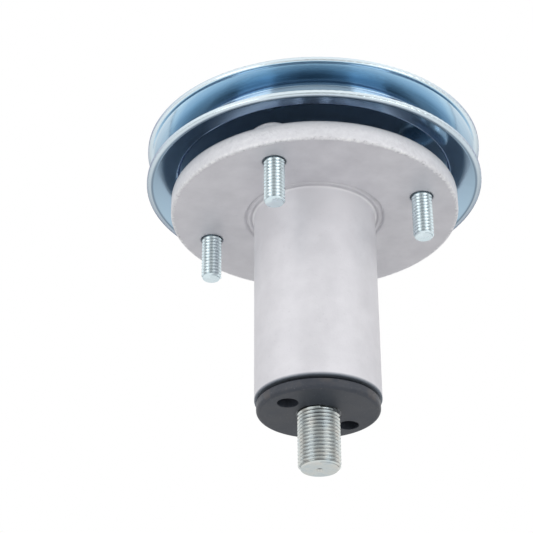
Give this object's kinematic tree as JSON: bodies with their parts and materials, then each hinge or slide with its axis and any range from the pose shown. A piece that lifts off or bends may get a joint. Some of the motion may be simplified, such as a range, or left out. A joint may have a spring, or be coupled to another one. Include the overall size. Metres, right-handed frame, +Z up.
{
  "type": "mower deck spindle",
  "caption": "Lawn mower deck spindle: cast flanged housing with mounting studs, threaded shaft with blade drive disc, and a plated sheet belt pulley on top.",
  "frame": {"origin": "on the shaft's axis, on the flange's lower face that seats on the deck", "axes": "+Z up along the shaft, towards the pulley; the blade end points to -Z"},
  "size_m": [0.133, 0.133, 0.1523],
  "materials": {
    "cast_aluminium": "satin, cast and machined",
    "blue_zinc": "bright blue zinc plating",
    "zinc_steel": "bright zinc plating",
    "bright_steel": "ground bearing steel",
    "dark_steel": "satin dark grey coating",
    "seal_rubber": "matte"
  },
  "bodies": {
    "housing": {"spindle_housing": "cast_aluminium", "mounting_studs": "zinc_steel", "upper_bearing_outer_ring": "bright_steel", "upper_bearing_top_seal": "seal_rubber", "upper_bearing_bottom_seal": "seal_rubber", "lower_bearing_outer_ring": "bright_steel", "lower_bearing_top_seal": "seal_rubber", "lower_bearing_bottom_seal": "seal_rubber"},
    "spindle": {"spindle_shaft": "zinc_steel", "bearing_spacer": "zinc_steel", "blade_drive_disc": "dark_steel", "pulley_upper_half": "blue_zinc", "pulley_lower_half": "blue_zinc", "pulley_hub": "zinc_steel", "pulley_key": "bright_steel", "pulley_lock_washer": "zinc_steel", "pulley_nut": "zinc_steel", "upper_bearing_inner_ring": "bright_steel", "lower_bearing_inner_ring": "bright_steel"},
    "upper_ball_set": {"upper_bearing_balls": "bright_steel", "upper_bearing_cage": "bright_steel"},
    "lower_ball_set": {"lower_bearing_balls": "bright_steel", "lower_bearing_cage": "bright_steel"}
  },
  "joints": [
    {"name": "spindle_spin", "type": "hinge", "parent": "housing", "child": "spindle", "pos_m": [0, 0, 0], "axis": [0, 0, 1], "continuous": true},
    {"name": "upper_balls_roll", "type": "hinge", "parent": "housing", "child": "upper_ball_set", "pos_m": [0, 0, 0], "axis": [0, 0, 1], "continuous": true},
    {"name": "lower_balls_roll", "type": "hinge", "parent": "housing", "child": "lower_ball_set", "pos_m": [0, 0, 0], "axis": [0, 0, 1], "continuous": true}
  ],
  "couplings": [
    {"joint": "upper_balls_roll", "follows": "spindle_spin", "ratio": 0.38163},
    {"joint": "lower_balls_roll", "follows": "spindle_spin", "ratio": 0.38163}
  ]
}
